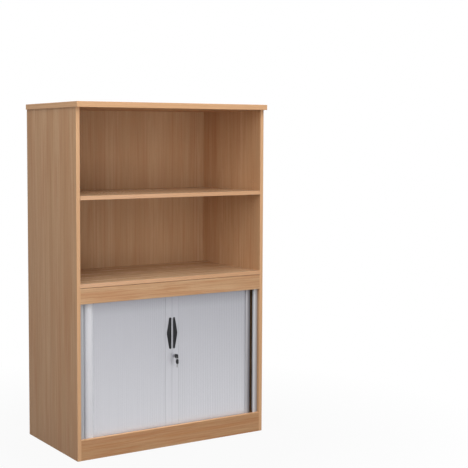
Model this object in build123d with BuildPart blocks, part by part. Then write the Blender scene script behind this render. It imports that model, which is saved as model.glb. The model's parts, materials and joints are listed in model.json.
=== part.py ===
from build123d import *
import math
import os

# Tall office cabinet in beech-faced board: an open upper part with two bays, and a lower cupboard
# behind a pair of sideways-sliding slatted doors, with a pull-out filing frame hung inside it.
# Millimetres. X runs to the right, Y to the back and Z up, from the middle of the base.
os.makedirs("parts", exist_ok=True)

# Carcass
overall_width = 1020
overall_depth = 550
overall_height = 1600
top_thickness = 25
side_overhang = 5
front_overhang = 22
board = 18
edge_ease = 1
back_inset = 6
plinth_height = 93
floor_height = 795
rail_height = 70
shadow_gap = 2
shelf_height = 1185
shelf_end_gap = 1
shelf_back_gap = 2

# Shelf pins and their rows of holes
pin_radius = 2.5
pin_fit = 0.05
pin_seat_gap = 0.1
pin_depth = 8
pin_reach = 9
pin_row_inset = 60
pin_pitch = 32
pin_rows_each_way = 2

# Dowels and screws
dowel_radius = 4
dowel_length = 28
dowel_end_gap = 1
dowel_fit = 0.05
dowel_inset = 60
rail_dowel_shares = (0.3, 0.7)
back_dowel_shares = (0.1, 0.5, 0.9)
screw_radius = 2
screw_fit = 0.05
screw_head_radius = 4
screw_head_height = 2.5
screw_bite = 12
back_screw_shares = (-0.7, 0.0, 0.7)
trim_screw_shares = (0.1, 0.5, 0.9)
track_screw_shares = (-0.8, 0.0, 0.8)

# Corner posts, which hide the bend of each door, and the trims beside them
post_width = 41
post_radius = 34
post_wall = 2
post_leg = 14
post_side_gap = 28
trim_width = 23
trim_recess = 15
trim_depth = 12.5
trim_wall = 2
trim_flange = 45

# Slatted doors and the tracks that they run in
slat_thickness = 8
slat_pitch = 10
slat_gap = 0.4
slat_nose = 1.2
slat_back_width = 7.2
slat_shoulder_share = 0.4
slat_end_gap = 0.3
track_wall = 1.5
track_floor = 2
track_height = 12
track_clearance = 0.5
track_end_gap = 6
post_clearance = 0.5
tail_slats = 5
stile_width = 36
door_gap = 1
door_tuck = 0.5

# Handles
handle_length = 148
handle_width = 22
handle_end_width = 9
handle_proud = 13
handle_end_proud = 6.5
handle_inner = 6
handle_edge = 3.5
handle_drop = 175
handle_end_round = 4
handle_low_share = 0.2
handle_ridge_share = 0.55
handle_screw_share = 0.32
handle_screw_bite = 5

# Lock on the right door, its hook, and the keeper on the left door
lock_x = 12.5
lock_drop = 108
lock_radius = 8
lock_flange_radius = 10
lock_flange = 3
lock_length = 18
lock_fit = 0.05
core_radius = 5.5
core_proud = 0.5
nut_radius = 11
nut_thickness = 4
hook_width = 12
hook_thickness = 2
hook_length = 33
hook_top = 7
keeper_reach = 24.5
keeper_pin_radius = 2
keeper_clearance = 1
keeper_wall = 1.5
keeper_width = 18
keeper_height = 30
keeper_overlap = 3.5

# Keys
key_thickness = 1.8
key_blade = 7
key_depth = 14.5
key_neck = 6
bow_length = 22
bow_height = 20
bow_thickness = 6
bow_corner = 7
bow_hole_radius = 3
bow_hole_inset = 4.5
key_fit = 0.1
ring_radius = 7.2
ring_wire = 0.6
ring_slack = 0.87
spare_bow_width = 16
spare_bow_height = 22
spare_blade_length = 17

# Filing frame and its telescopic slides
frame_door_clearance = 6.5
frame_liner_gap = 1.5
frame_depth = 300
frame_height = 86
frame_rail_gap = 15
frame_back_gap = 12
sheet = 1.5
frame_return = 12
frame_lip = 8
frame_end_gap = 0.2
grip_radius = 62
grip_height = 17
grip_angle = 62
divider_width = 20
divider_height = 16
liner_thickness = 12
liner_setback = 3
slide_thickness = 13
slide_height = 45
slide_sheet = 1.2
slide_gap = 0.5
slide_end_gap = 1
slide_screw_inset = 60
rivet_radius = 2.5
rivet_head_radius = 4
rivet_head = 1

overrun = 1

# Main planes worked out from the sizes above
half_width = overall_width / 2 - side_overhang
inner_half = half_width - board
front = -overall_depth / 2 + front_overhang
back = overall_depth / 2
back_outer = back - back_inset
back_face = back_outer - board
board_back = front + board
top_underside = overall_height - top_thickness
floor_underside = floor_height - board
rail_top = floor_underside - shadow_gap
rail_bottom = rail_top - rail_height
base_top = plinth_height - track_height
base_underside = base_top - board
shelf_underside = shelf_height - board

# The curtain's path: along the front, round the bend inside the post, and back beside the liner
post_side = inner_half - post_side_gap
bend_x = post_side - post_radius
bend_y = board_back + post_radius
curtain_outer_radius = post_radius - post_wall - post_clearance - track_wall - track_clearance
curtain_radius = curtain_outer_radius - slat_thickness / 2
curtain_front = bend_y - curtain_outer_radius
curtain_back = curtain_front + slat_thickness
curtain_middle = (curtain_front + curtain_back) / 2
slat_bottom = base_top + track_floor + slat_end_gap
slat_top = floor_underside - track_floor - slat_end_gap
stile_inner = door_gap / 2
stile_outer = stile_inner + stile_width
door_travel = post_side - post_width + door_tuck - stile_outer
track_slot = slat_thickness + 2 * track_clearance
track_width = track_slot + 2 * track_wall

# Handles hang from the rail and the lock from the handles
handle_middle = rail_bottom - handle_drop
lock_height = handle_middle - lock_drop

# Lock stack, from its flange at the front to the head of the hook's screw
lock_front = curtain_front - lock_flange
lock_rear = curtain_front + lock_length
hook_front = lock_rear + core_proud
hook_rear = hook_front + hook_thickness
lock_end = hook_rear + screw_head_height
ring_y = lock_front - key_neck - bow_length + bow_hole_inset
ring_top = lock_height - (bow_hole_radius - ring_wire) + ring_slack
ring_centre = ring_top - ring_radius
spare_hole = ring_centre - ring_radius - (bow_hole_radius - ring_wire) + ring_slack
spare_bow_middle = spare_hole + bow_hole_inset - spare_bow_height / 2

# Filing frame, whose front hides the slides and is narrow enough to pass between the open doors
frame_front_half = stile_inner + door_travel - frame_door_clearance
liner_inner = frame_front_half + frame_liner_gap
frame_half = liner_inner - slide_thickness
liner_outer = liner_inner + liner_thickness
liner_front = lock_end + liner_setback
frame_top = rail_bottom - frame_rail_gap
frame_bottom = frame_top - frame_height
frame_rear = back_face - frame_back_gap
frame_front_y = frame_rear - frame_depth
slide_z = (frame_top + frame_bottom) / 2


def save(builder, name):
    """Labels a finished piece and writes it."""
    builder.part.label = name
    export_step(builder.part, f"parts/{name}.step")


def save_pair(builder, name):
    """Writes a right-hand piece, and its mirror image for the left."""
    save(builder, f"right_{name}")
    with BuildPart() as twin:
        add(builder.part.mirror(Plane.YZ))
    save(twin, f"left_{name}")


def block(x, y, z, mode=Mode.ADD):
    """A box from end to end on each axis, in the piece being made."""
    with Locations(((x[0] + x[1]) / 2, (y[0] + y[1]) / 2, (z[0] + z[1]) / 2)):
        Box(x[1] - x[0], y[1] - y[0], z[1] - z[0], mode=mode)


def rod(axis, ends, centre, radius, mode=Mode.ADD):
    """A round bar along X, Y or Z from end to end, through a centre given on the other two axes."""
    middle = sum(ends) / 2
    spot = {"X": (middle, *centre), "Y": (centre[0], middle, centre[1]), "Z": (*centre, middle)}[axis]
    turn = {"X": (0, 90, 0), "Y": (90, 0, 0), "Z": (0, 0, 0)}[axis]
    with Locations(spot):
        Cylinder(radius, abs(ends[1] - ends[0]), rotation=turn, mode=mode)


def ease_front(builder, axis):
    """Rounds the long edges of a board's banded front."""
    front_face = builder.faces().sort_by(Axis.Y)[0]
    fillet(front_face.edges().filter_by(axis), edge_ease)


def between(low, high, shares):
    """Places at shares of the way from low to high."""
    return [low + (high - low) * share for share in shares]


# Where the dowels sit: up through the tops of the sides and back, and out of each board's ends
board_middle_y = front + board / 2
back_middle_y = back_face + board / 2
top_dowels = [
    (sign * (half_width - board / 2), y)
    for sign in (-1, 1)
    for y in (front + dowel_inset, (front + back) / 2, back - dowel_inset)
]
top_dowels += [(sign * inner_half / 2, back_middle_y) for sign in (-1, 1)]
floor_middle = floor_height - board / 2
base_middle = base_top - board / 2
end_dowels = {
    "fixed_shelf": [(y, floor_middle) for y in (front + dowel_inset, back_face - dowel_inset)],
    "base_panel": [(y, base_middle) for y in (board_back + dowel_inset, back_face - dowel_inset)],
    "fascia_rail": [(board_middle_y, z) for z in between(rail_bottom, rail_top, rail_dowel_shares)],
    "plinth": [(board_middle_y, z) for z in between(0, plinth_height, rail_dowel_shares)],
    "rear_plinth": [
        (back_face - board / 2, z) for z in between(0, base_underside, rail_dowel_shares)
    ],
    "back_panel": [
        (back_middle_y, z) for z in between(base_underside, top_underside, back_dowel_shares)
    ],
}
dowel_half = dowel_length / 2
dowel_hole_half = dowel_half + dowel_end_gap
dowel_hole = dowel_radius + dowel_fit


def drill_ends(name):
    """Blind holes for a board's dowels, at both of its ends."""
    for sign in (-1, 1):
        ends = (sign * inner_half - dowel_hole_half, sign * inner_half + dowel_hole_half)
        for y, z in end_dowels[name]:
            rod("X", ends, (y, z), dowel_hole, Mode.SUBTRACT)


def drill_tops():
    """Blind holes for the dowels between the top panel and what carries it."""
    ends = (top_underside - dowel_hole_half, top_underside + dowel_hole_half)
    for spot in top_dowels:
        rod("Z", ends, spot, dowel_hole, Mode.SUBTRACT)


# Screws that hold the back panel to the fixed shelf and the base
back_screws_at = [
    (share * inner_half, z) for share in back_screw_shares for z in (floor_middle, base_middle)
]
back_screw_ends = (back_face - screw_bite, back_outer - screw_head_height)
back_head_ends = (back_outer - screw_head_height, back_outer)


def drill_back(overlap):
    """Pilot holes and head recesses for the back panel's screws."""
    for spot in back_screws_at:
        ends = (back_screw_ends[0] - overlap, back_screw_ends[1])
        rod("Y", ends, spot, screw_radius + screw_fit, Mode.SUBTRACT)
        ends = (back_head_ends[0], back_head_ends[1] + overlap)
        rod("Y", ends, spot, screw_head_radius + screw_fit, Mode.SUBTRACT)


# Overhanging top
with BuildPart() as top_panel:
    block(
        (-overall_width / 2, overall_width / 2),
        (-overall_depth / 2, overall_depth / 2),
        (top_underside, overall_height),
    )
    fillet(top_panel.edges(), edge_ease)
    drill_tops()
save(top_panel, "top_panel")

# Sides, each drilled for its dowels, trim screws and two rows of shelf pins
pin_rows = (front + pin_row_inset, back_face - pin_row_inset)
pin_height = shelf_underside - pin_radius - pin_seat_gap
pin_steps = range(-pin_rows_each_way, pin_rows_each_way + 1)
trim_front = front + trim_recess
trim_screw_y = trim_front + (trim_flange + trim_depth) / 2
trim_screw_heights = between(plinth_height, rail_bottom, trim_screw_shares)
trim_screw_ends = (inner_half - trim_wall, inner_half + screw_bite)
with BuildPart() as side:
    block((inner_half, half_width), (front, back), (0, top_underside))
    ease_front(side, Axis.Z)
    drill_tops()
    for board_name in end_dowels:
        drill_ends(board_name)
    for y in pin_rows:
        for step in pin_steps:
            rod(
                "X",
                (inner_half - overrun, inner_half + pin_depth),
                (y, pin_height + step * pin_pitch),
                pin_radius + pin_fit,
                Mode.SUBTRACT,
            )
    for z in trim_screw_heights:
        rod("X", trim_screw_ends, (trim_screw_y, z), screw_radius + screw_fit, Mode.SUBTRACT)
save_pair(side, "side")

# Back, set in between the sides
with BuildPart() as back_panel:
    block((-inner_half, inner_half), (back_face, back_outer), (base_underside, top_underside))
    drill_tops()
    drill_ends("back_panel")
    drill_back(overrun)
save(back_panel, "back_panel")

# Floor of the open part, which is also the roof of the cupboard
track_screw_x = [share * bend_x for share in track_screw_shares]
with BuildPart() as fixed_shelf:
    block((-inner_half, inner_half), (front, back_face), (floor_underside, floor_height))
    ease_front(fixed_shelf, Axis.X)
    drill_ends("fixed_shelf")
    drill_back(overrun)
    for x in track_screw_x:
        ends = (floor_underside - overrun, floor_underside + screw_bite)
        rod("Z", ends, (x, curtain_middle), screw_radius + screw_fit, Mode.SUBTRACT)
save(fixed_shelf, "fixed_shelf")

# Loose shelf on its four pins
shelf_half = inner_half - shelf_end_gap
with BuildPart() as adjustable_shelf:
    block(
        (-shelf_half, shelf_half), (front, back_face - shelf_back_gap), (shelf_underside, shelf_height)
    )
    ease_front(adjustable_shelf, Axis.X)
save(adjustable_shelf, "adjustable_shelf")

with BuildPart() as shelf_pins:
    for sign in (-1, 1):
        for y in pin_rows:
            ends = (sign * (inner_half - pin_reach), sign * (inner_half + pin_depth))
            rod("X", ends, (y, pin_height), pin_radius)
save(shelf_pins, "shelf_pins")

# Rail under the fixed shelf, which hides the doors' top track
with BuildPart() as fascia_rail:
    block((-inner_half, inner_half), (front, board_back), (rail_bottom, rail_top))
    ease_front(fascia_rail, Axis.X)
    drill_ends("fascia_rail")
save(fascia_rail, "fascia_rail")

# Cupboard floor, sunk behind the front plinth so that it hides the bottom track, on the rear plinth
with BuildPart() as base_panel:
    block((-inner_half, inner_half), (board_back, back_face), (base_underside, base_top))
    drill_ends("base_panel")
    drill_back(overrun)
    for x in track_screw_x:
        ends = (base_top - screw_bite, base_top + overrun)
        rod("Z", ends, (x, curtain_middle), screw_radius + screw_fit, Mode.SUBTRACT)
save(base_panel, "base_panel")

with BuildPart() as plinth:
    block((-inner_half, inner_half), (front, board_back), (0, plinth_height))
    ease_front(plinth, Axis.X)
    drill_ends("plinth")
save(plinth, "plinth")

with BuildPart() as rear_plinth:
    block((-inner_half, inner_half), (back_face - board, back_face), (0, base_underside))
    drill_ends("rear_plinth")
save(rear_plinth, "rear_plinth")

# Wooden dowels between the boards
with BuildPart() as panel_dowels:
    for spot in top_dowels:
        rod("Z", (top_underside - dowel_half, top_underside + dowel_half), spot, dowel_radius)
    for spots in end_dowels.values():
        for sign in (-1, 1):
            for spot in spots:
                ends = (sign * inner_half - dowel_half, sign * inner_half + dowel_half)
                rod("X", ends, spot, dowel_radius)
save(panel_dowels, "panel_dowels")

with BuildPart() as back_screws:
    for spot in back_screws_at:
        rod("Y", back_screw_ends, spot, screw_radius)
        rod("Y", back_head_ends, spot, screw_head_radius)
save(back_screws, "back_screws")

# Liner between the cupboard and the space that a door runs back into; it carries the slides
slide_screw_y = (frame_front_y + slide_screw_inset, frame_rear - slide_screw_inset)
with BuildPart() as liner:
    block((liner_inner, liner_outer), (liner_front, back_face), (base_top, floor_underside))
    for y in slide_screw_y:
        ends = (liner_inner - overrun, liner_inner + liner_thickness / 2)
        rod("X", ends, (y, slide_z), screw_radius + screw_fit, Mode.SUBTRACT)
save_pair(liner, "liner")

# Rounded post that each door disappears behind: a bent wall with a lip along the front
post_lip = post_width - post_radius
wall_radius = post_radius - post_wall / 2
with BuildPart() as corner_post:
    with BuildSketch(Plane.XY.offset(base_top)):
        with BuildLine():
            bend = CenterArc((bend_x, bend_y), wall_radius, -90, 90)
            Line(bend @ 0, bend @ 0 - (post_lip, 0))
            Line(bend @ 1, bend @ 1 + (0, post_leg))
        trace(line_width=post_wall)
    extrude(amount=floor_underside - base_top)
save_pair(corner_post, "corner_post")

# Trim along the side panel: a face, a return towards the post, and a flange for its screws
trim_inner = inner_half - trim_width
with BuildPart() as edge_trim:
    heights = (plinth_height, rail_bottom)
    block((trim_inner, inner_half), (trim_front, trim_front + trim_wall), heights)
    block((trim_inner, trim_inner + trim_wall), (trim_front, trim_front + trim_depth), heights)
    block((inner_half - trim_wall, inner_half), (trim_front, trim_front + trim_flange), heights)
    for z in trim_screw_heights:
        ends = (trim_screw_ends[0] - overrun, trim_screw_ends[1])
        rod("X", ends, (trim_screw_y, z), screw_radius + screw_fit, Mode.SUBTRACT)
save_pair(edge_trim, "edge_trim")

with BuildPart() as trim_screws:
    for z in trim_screw_heights:
        rod("X", trim_screw_ends, (trim_screw_y, z), screw_radius)
        ends = (trim_screw_ends[0] - screw_head_height, trim_screw_ends[0])
        rod("X", ends, (trim_screw_y, z), screw_head_radius)
    mirror(about=Plane.YZ)
save(trim_screws, "trim_screws")

# Straight tracks across the front, on the cupboard's floor and under its roof
track_front = curtain_middle - track_width / 2
slot_front = curtain_middle - track_slot / 2
slot_back = curtain_middle + track_slot / 2
track_edges = (track_front, track_front + track_width)
bottom_track = (base_top, base_top + track_height)
top_track = (floor_underside - track_height, floor_underside)
bottom_slot = (base_top + track_floor, bottom_track[1] + overrun)
top_slot = (top_track[0] - overrun, floor_underside - track_floor)
for name, body, slot in (
    ("bottom_front_track", bottom_track, bottom_slot),
    ("top_front_track", top_track, top_slot),
):
    with BuildPart() as front_track:
        block((-bend_x, bend_x), track_edges, body)
        block((-bend_x - overrun, bend_x + overrun), (slot_front, slot_back), slot, Mode.SUBTRACT)
        for x in track_screw_x:
            rod("Z", body, (x, curtain_middle), screw_head_radius + screw_fit, Mode.SUBTRACT)
    save(front_track, name)

with BuildPart() as track_screws:
    for x in track_screw_x:
        spot = (x, curtain_middle)
        rod("Z", (base_top - screw_bite, base_top), spot, screw_radius)
        rod("Z", (base_top, base_top + track_floor), spot, screw_head_radius)
        rod("Z", (floor_underside, floor_underside + screw_bite), spot, screw_radius)
        rod("Z", (floor_underside - track_floor, floor_underside), spot, screw_head_radius)
save(track_screws, "track_screws")

# Bent tracks: round each corner and back along the side
track_rear = back_face - track_end_gap
for name, body, slot in (
    ("bottom_side_tracks", bottom_track, bottom_slot),
    ("top_side_tracks", top_track, top_slot),
):
    with BuildPart() as side_tracks:
        for width, heights, mode in ((track_width, body, Mode.ADD), (track_slot, slot, Mode.SUBTRACT)):
            with BuildSketch(Plane.XY.offset(heights[0])):
                with BuildLine():
                    bend = CenterArc((bend_x, bend_y), curtain_radius, -90, 90)
                    Line(bend @ 1, (bend_x + curtain_radius, track_rear))
                trace(line_width=width)
            extrude(amount=heights[1] - heights[0], mode=mode)
        mirror(about=Plane.YZ)
    save(side_tracks, name)

# Extruded slats, hooked edge to edge: wide at the face, narrow at the back so that they can bend
front_run = bend_x - stile_outer
front_slats = round(front_run / slat_pitch)
run_pitch = front_run / front_slats
bend_length = curtain_radius * math.pi / 2
bend_slats_each = round(bend_length / slat_pitch)
bend_step = 90 / bend_slats_each
slat_half = (run_pitch - slat_gap) / 2
slat_back_half = slat_back_width / 2
slat_shoulder = slat_thickness * slat_shoulder_share
slat_outline = [
    (slat_nose - slat_half, 0),
    (slat_half - slat_nose, 0),
    (slat_half, slat_nose),
    (slat_half, slat_shoulder),
    (slat_back_half, slat_thickness),
    (-slat_back_half, slat_thickness),
    (-slat_half, slat_shoulder),
    (-slat_half, slat_nose),
]


def slats(places):
    """Upright slats, each given by the middle of its face and how far it is turned."""
    with BuildSketch(Plane.XY.offset(slat_bottom)) as section:
        with Locations(*[Location((x, y, 0), (0, 0, turn)) for x, y, turn in places]):
            Polygon(*slat_outline, align=None)
    return extrude(section.sketch, amount=slat_top - slat_bottom)


with BuildPart() as curtain:
    add(slats([(stile_outer + (i + 0.5) * run_pitch, curtain_front, 0) for i in range(front_slats)]))
save_pair(curtain, "curtain")

with BuildPart() as bend_slats:
    bend_turns = [(i + 0.5) * bend_step for i in range(bend_slats_each)]
    add(
        slats(
            [
                (
                    bend_x + curtain_outer_radius * math.sin(math.radians(turn)),
                    bend_y - curtain_outer_radius * math.cos(math.radians(turn)),
                    turn,
                )
                for turn in bend_turns
            ]
        )
    )
save_pair(bend_slats, "bend_slats")

with BuildPart() as tail:
    tail_x = bend_x + curtain_outer_radius
    add(slats([(tail_x, bend_y + (i + 0.5) * run_pitch, 90) for i in range(tail_slats)]))
save_pair(tail, "tail_slats")

# Leading stile of each door; the right one is bored for the lock
handle_screw_heights = [
    handle_middle + sign * handle_length * handle_screw_share for sign in (-1, 1)
]
handle_screw_x = handle_inner + handle_width * handle_screw_share
handle_screw_ends = (curtain_front - handle_screw_bite, curtain_back)


def stile_stock():
    """The door's plain leading edge on the right, drilled for its handle."""
    block((stile_inner, stile_outer), (curtain_front, curtain_back), (slat_bottom, slat_top))
    for z in handle_screw_heights:
        ends = (curtain_front - overrun, curtain_back + overrun)
        rod("Y", ends, (handle_screw_x, z), screw_radius + screw_fit, Mode.SUBTRACT)


with BuildPart() as right_stile:
    stile_stock()
    ends = (curtain_front - overrun, curtain_back + overrun)
    rod("Y", ends, (lock_x, lock_height), lock_radius + lock_fit, Mode.SUBTRACT)
save(right_stile, "right_stile")

with BuildPart() as left_stile:
    stile_stock()
    mirror(about=Plane.YZ, mode=Mode.REPLACE)
save(left_stile, "left_stile")

# Handles: straight towards the meeting edge, peaked outwards, with a ridge down the front
with BuildPart() as handle:
    for place, width, proud in (
        (-handle_length / 2, handle_end_width, handle_end_proud),
        (0, handle_width, handle_proud),
        (handle_length / 2, handle_end_width, handle_end_proud),
    ):
        with BuildSketch(Plane.XY.offset(handle_middle + place)):
            Polygon(
                (handle_inner, curtain_front),
                (handle_inner + width, curtain_front),
                (handle_inner + width, curtain_front - proud * handle_low_share),
                (handle_inner + width * handle_ridge_share, curtain_front - proud),
                (handle_inner, curtain_front - handle_edge),
                align=None,
            )
    loft(ruled=True)
    fillet(handle.edges().filter_by(Axis.Y), handle_end_round)
    for z in handle_screw_heights:
        ends = (handle_screw_ends[0], curtain_front + overrun)
        rod("Y", ends, (handle_screw_x, z), screw_radius + screw_fit, Mode.SUBTRACT)
save_pair(handle, "handle")

with BuildPart() as handle_screws:
    for z in handle_screw_heights:
        rod("Y", handle_screw_ends, (handle_screw_x, z), screw_radius)
        ends = (curtain_back, curtain_back + screw_head_height)
        rod("Y", ends, (handle_screw_x, z), screw_head_radius)
save_pair(handle_screws, "handle_screws")

# Lock: a flanged barrel through the stile, its nut, and the core that turns in it
lock_axis = (lock_x, lock_height)
with BuildPart() as lock_barrel:
    rod("Y", (curtain_front, lock_rear), lock_axis, lock_radius)
    rod("Y", (lock_front, curtain_front), lock_axis, lock_flange_radius)
    ends = (lock_front - overrun, lock_rear + overrun)
    rod("Y", ends, lock_axis, core_radius + lock_fit, Mode.SUBTRACT)
save(lock_barrel, "lock_barrel")

with BuildPart() as lock_nut:
    rod("Y", (curtain_back, curtain_back + nut_thickness), lock_axis, nut_radius)
    ends = (curtain_back - overrun, curtain_back + nut_thickness + overrun)
    rod("Y", ends, lock_axis, lock_radius + lock_fit, Mode.SUBTRACT)
save(lock_nut, "lock_nut")

key_half = key_thickness / 2
blade_half = key_blade / 2
key_end = lock_front + key_depth
with BuildPart() as lock_core:
    rod("Y", (lock_front, hook_front), lock_axis, core_radius)
    slot_x = (lock_x - key_half - key_fit, lock_x + key_half + key_fit)
    slot_z = (lock_height - blade_half - key_fit, lock_height + blade_half + key_fit)
    block(slot_x, (lock_front - overrun, key_end + key_fit), slot_z, Mode.SUBTRACT)
    ends = (key_end + key_fit, hook_front + overrun)
    rod("Y", ends, lock_axis, screw_radius + screw_fit, Mode.SUBTRACT)
save(lock_core, "lock_core")

# Hook: hangs down when open, and swings up under the keeper's pin when the key is turned
notch_half = keeper_pin_radius + keeper_clearance
with BuildPart() as lock_hook:
    hook_x = (lock_x - hook_width / 2, lock_x + hook_width / 2)
    block(hook_x, (hook_front, hook_rear), (lock_height - hook_length, lock_height + hook_top))
    block(
        (hook_x[0] - overrun, lock_x + notch_half),
        (hook_front - overrun, hook_rear + overrun),
        (lock_height - keeper_reach - notch_half, lock_height - keeper_reach + notch_half),
        Mode.SUBTRACT,
    )
    ends = (hook_front - overrun, hook_rear + overrun)
    rod("Y", ends, lock_axis, screw_radius + screw_fit, Mode.SUBTRACT)
save(lock_hook, "lock_hook")

with BuildPart() as hook_screw:
    rod("Y", (key_end + 2 * key_fit, hook_rear), lock_axis, screw_radius)
    rod("Y", (hook_rear, lock_end), lock_axis, screw_head_radius)
save(hook_screw, "hook_screw")

keeper_x = lock_x - keeper_reach
with BuildPart() as lock_keeper:
    block(
        (keeper_x - keeper_width / 2, keeper_x + keeper_width / 2),
        (curtain_back, curtain_back + keeper_wall),
        (lock_height - keeper_height / 2, lock_height + keeper_height / 2),
    )
    ends = (curtain_back, hook_rear + keeper_overlap)
    rod("Y", ends, (keeper_x, lock_height), keeper_pin_radius)
save(lock_keeper, "lock_keeper")

# Key in the lock, the ring through its bow, and the spare key that hangs from the ring
bow_front = lock_front - key_neck - bow_length
with BuildPart() as key:
    block(
        (lock_x - key_half, lock_x + key_half),
        (lock_front - key_neck - overrun, key_end),
        (lock_height - blade_half, lock_height + blade_half),
    )
    with BuildSketch(Plane.YZ.offset(lock_x)):
        with Locations((bow_front + bow_length / 2, lock_height)):
            RectangleRounded(bow_length, bow_height, bow_corner)
    extrude(amount=bow_thickness / 2, both=True)
    ends = (lock_x - bow_thickness, lock_x + bow_thickness)
    rod("X", ends, (ring_y, lock_height), bow_hole_radius, Mode.SUBTRACT)
save(key, "key")

with BuildPart() as key_ring:
    with Locations((lock_x, ring_y, ring_centre)):
        Torus(ring_radius, ring_wire, rotation=(90, 0, 0))
save(key_ring, "key_ring")

spare_bow_bottom = spare_bow_middle - spare_bow_height / 2
with BuildPart() as spare_key:
    block(
        (lock_x - key_half, lock_x + key_half),
        (ring_y - blade_half, ring_y + blade_half),
        (spare_bow_bottom - spare_blade_length, spare_bow_bottom + overrun),
    )
    with BuildSketch(Plane.YZ.offset(lock_x)):
        with Locations((ring_y, spare_bow_middle)):
            RectangleRounded(spare_bow_width, spare_bow_height, bow_corner)
    extrude(amount=bow_thickness / 2, both=True)
    ends = (lock_x - bow_thickness, lock_x + bow_thickness)
    rod("X", ends, (ring_y, spare_hole), bow_hole_radius, Mode.SUBTRACT)
save(spare_key, "spare_key")

# Filing frame: folded front and back panels, with a smile-shaped grip through the front one
frame_inner = frame_half - sheet
panel_end = frame_inner - frame_end_gap


def folded_panel(face, inward, half, fold_half):
    """A panel across the frame, folded in at its top, with a lip, and at its foot."""
    for width, depths, heights in (
        (half, (0, sheet), (frame_bottom, frame_top)),
        (fold_half, (0, frame_return), (frame_top - sheet, frame_top)),
        (fold_half, (frame_return - sheet, frame_return), (frame_top - frame_lip, frame_top)),
        (fold_half, (0, frame_return), (frame_bottom, frame_bottom + sheet)),
    ):
        block((-width, width), sorted(face + inward * depth for depth in depths), heights)


with BuildPart() as frame_front:
    folded_panel(frame_front_y, 1, frame_front_half, frame_front_half)
    with BuildSketch(Plane.XZ.offset(-frame_front_y + overrun)):
        with BuildLine(mode=Mode.PRIVATE):
            smile = CenterArc((0, slide_z + grip_radius), grip_radius, -90 - grip_angle / 2, grip_angle)
        SlotArc(smile, grip_height)
    extrude(amount=-sheet - 2 * overrun, mode=Mode.SUBTRACT)
save(frame_front, "frame_front")

with BuildPart() as frame_back:
    folded_panel(frame_rear, -1, frame_half, panel_end)
save(frame_back, "frame_back")

# Sides of the frame, notched round the front's folds, and the bar between its two bays
rivet_y = slide_screw_y
frame_lip_y = frame_front_y + frame_return
with BuildPart() as frame_side:
    block((frame_inner, frame_half), (frame_lip_y, frame_rear - sheet), (frame_bottom, frame_top))
    block(
        (frame_inner, frame_half),
        (frame_front_y + sheet, frame_lip_y),
        (frame_bottom + sheet + frame_end_gap, frame_top - frame_lip - frame_end_gap),
    )
    for y in rivet_y:
        ends = (frame_inner - overrun, frame_half + overrun)
        rod("X", ends, (y, slide_z), rivet_radius + screw_fit, Mode.SUBTRACT)
save_pair(frame_side, "frame_side")

with BuildPart() as frame_divider:
    lengths = (frame_lip_y, frame_rear - frame_return)
    heights = (frame_top - sheet - divider_height, frame_top - sheet)
    block((-divider_width / 2, divider_width / 2), lengths, heights)
    block(
        (sheet - divider_width / 2, divider_width / 2 - sheet),
        (lengths[0] - overrun, lengths[1] + overrun),
        (heights[0] - overrun, heights[1] - sheet),
        Mode.SUBTRACT,
    )
save(frame_divider, "frame_divider")

# Telescopic slides: channels nested one in the next, from the liner to the frame
slide_ends = (frame_lip_y + slide_end_gap, frame_rear)
member_step = slide_sheet + slide_gap
outer_half = slide_height / 2
middle_half = outer_half - member_step
inner_member_half = middle_half - member_step


def channel(web, mouth, half):
    """A channel of sheet steel along Y, with its back at web and its open side at mouth."""
    toward = math.copysign(1, mouth - web)
    block(sorted((web, mouth)), slide_ends, (slide_z - half, slide_z + half))
    block(
        sorted((web + toward * slide_sheet, mouth + toward * overrun)),
        (slide_ends[0] - overrun, slide_ends[1] + overrun),
        (slide_z - half + slide_sheet, slide_z + half - slide_sheet),
        Mode.SUBTRACT,
    )


middle_web = liner_inner - member_step
with BuildPart() as slide_outer:
    channel(liner_inner, frame_half + 2 * member_step, outer_half)
    for y in slide_screw_y:
        ends = (liner_inner - slide_sheet - overrun, liner_inner + overrun)
        rod("X", ends, (y, slide_z), screw_head_radius + screw_fit, Mode.SUBTRACT)
save_pair(slide_outer, "slide_outer")

with BuildPart() as slide_screws:
    for y in slide_screw_y:
        rod("X", (liner_inner - slide_sheet, liner_inner), (y, slide_z), screw_head_radius)
        rod("X", (liner_inner, liner_inner + liner_thickness / 2), (y, slide_z), screw_radius)
    mirror(about=Plane.YZ)
save(slide_screws, "slide_screws")

with BuildPart() as slide_middles:
    channel(middle_web, frame_half + member_step, middle_half)
    mirror(about=Plane.YZ)
save(slide_middles, "slide_middles")

with BuildPart() as slide_inner:
    channel(frame_half, middle_web - member_step, inner_member_half)
    for y in rivet_y:
        ends = (frame_half - overrun, frame_half + slide_sheet + overrun)
        rod("X", ends, (y, slide_z), rivet_radius + screw_fit, Mode.SUBTRACT)
save_pair(slide_inner, "slide_inner")

with BuildPart() as frame_rivets:
    for y in rivet_y:
        rod("X", (frame_inner, frame_half + slide_sheet), (y, slide_z), rivet_radius)
        rod("X", (frame_inner - rivet_head, frame_inner), (y, slide_z), rivet_head_radius)
    mirror(about=Plane.YZ)
save(frame_rivets, "frame_rivets")

print(f"slats: {front_slats} across each front, {bend_slats_each} in each bend")
print(f"frame travel to the shut doors: {frame_front_y - curtain_back:.1f}")
print(f"spare key pivot: {lock_x}, {ring_y}, {ring_centre}")
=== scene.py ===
import json
import math

import bmesh
import bpy
from mathutils import Matrix, Vector


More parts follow.
